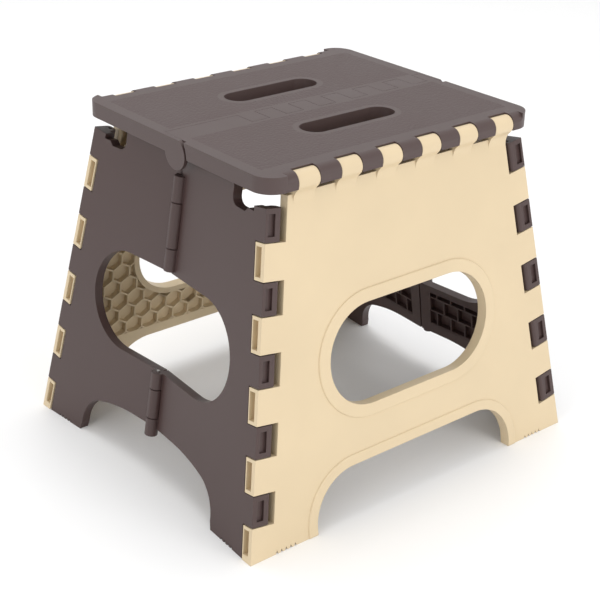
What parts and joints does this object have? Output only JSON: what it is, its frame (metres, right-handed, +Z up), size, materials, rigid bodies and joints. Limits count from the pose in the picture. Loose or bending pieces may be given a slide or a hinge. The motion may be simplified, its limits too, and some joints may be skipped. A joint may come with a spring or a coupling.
{
  "type": "folding step stool",
  "caption": "Folding step stool of hinged plastic panels: castellated top with two hand slots, beige legs, brown sides that fold inwards.",
  "frame": {"origin": "on the floor, under the middle of the top, stool open", "axes": "+X along the hinge lines of the top, +Y from the front leg to the back leg, +Z up"},
  "size_m": [0.3864, 0.34, 0.32],
  "materials": {
    "brown_plastic": "satin, fine grain on the top",
    "beige_plastic": "satin",
    "steel_pin": "drawn wire"
  },
  "bodies": {
    "front_leg": {"front_leg": "beige_plastic", "front_hinge_pin": "steel_pin", "left_front_corner_pin": "beige_plastic", "right_front_corner_pin": "beige_plastic"},
    "back_leg": {"back_leg": "beige_plastic", "back_hinge_pin": "steel_pin", "left_back_corner_pin": "beige_plastic", "right_back_corner_pin": "beige_plastic"},
    "left_front_side": {"left_front_side": "brown_plastic", "left_upper_side_pin": "steel_pin", "left_lower_side_pin": "steel_pin"},
    "left_back_side": {"left_back_side": "brown_plastic"},
    "right_front_side": {"right_front_side": "brown_plastic"},
    "right_back_side": {"right_back_side": "brown_plastic", "right_upper_side_pin": "steel_pin", "right_lower_side_pin": "steel_pin"},
    "top_front": {"top_front": "brown_plastic"},
    "top_back": {"top_back": "brown_plastic", "top_centre_pin": "steel_pin"}
  },
  "joints": [
    {"name": "left_front_corner", "type": "hinge", "parent": "front_leg", "child": "left_front_side", "pos_m": [-0.17781, -0.16287, -0.00088], "axis": [-0.1464, -0.1458, -0.9784], "range_deg": [0, 87]},
    {"name": "left_side_centre", "type": "hinge", "parent": "left_front_side", "child": "left_back_side", "pos_m": [-0.15695, 0, 0.17075], "axis": [0.153, 0, 0.9882], "range_deg": [0, 171.6]},
    {"name": "left_back_corner", "type": "hinge", "parent": "left_back_side", "child": "back_leg", "pos_m": [-0.17781, 0.16287, -0.00088], "axis": [-0.1464, 0.1458, -0.9784], "range_deg": [0, 87]},
    {"name": "front_top", "type": "hinge", "parent": "front_leg", "child": "top_front", "pos_m": [0, -0.1238, 0.3103], "axis": [1, 0, 0], "range_deg": [0, 75.22]},
    {"name": "back_top", "type": "hinge", "parent": "back_leg", "child": "top_back", "pos_m": [0, 0.1238, 0.3103], "axis": [-1, 0, 0], "range_deg": [0, 75.22]},
    {"name": "right_front_corner", "type": "hinge", "parent": "front_leg", "child": "right_front_side", "pos_m": [0.17781, -0.16287, -0.00088], "axis": [-0.1464, 0.1458, 0.9784], "range_deg": [0, 87]},
    {"name": "right_side_centre", "type": "hinge", "parent": "right_front_side", "child": "right_back_side", "pos_m": [0.15695, 0, 0.17075], "axis": [0.153, 0, -0.9882], "range_deg": [0, 171.6]}
  ],
  "couplings": [
    {"joint": "left_side_centre", "follows": "left_front_corner", "ratio": 1.9724},
    {"joint": "left_back_corner", "follows": "left_front_corner", "ratio": 1},
    {"joint": "front_top", "follows": "left_front_corner", "ratio": 0.8646},
    {"joint": "back_top", "follows": "left_front_corner", "ratio": 0.8646},
    {"joint": "right_front_corner", "follows": "left_front_corner", "ratio": 1},
    {"joint": "right_side_centre", "follows": "left_front_corner", "ratio": 1.9724}
  ]
}
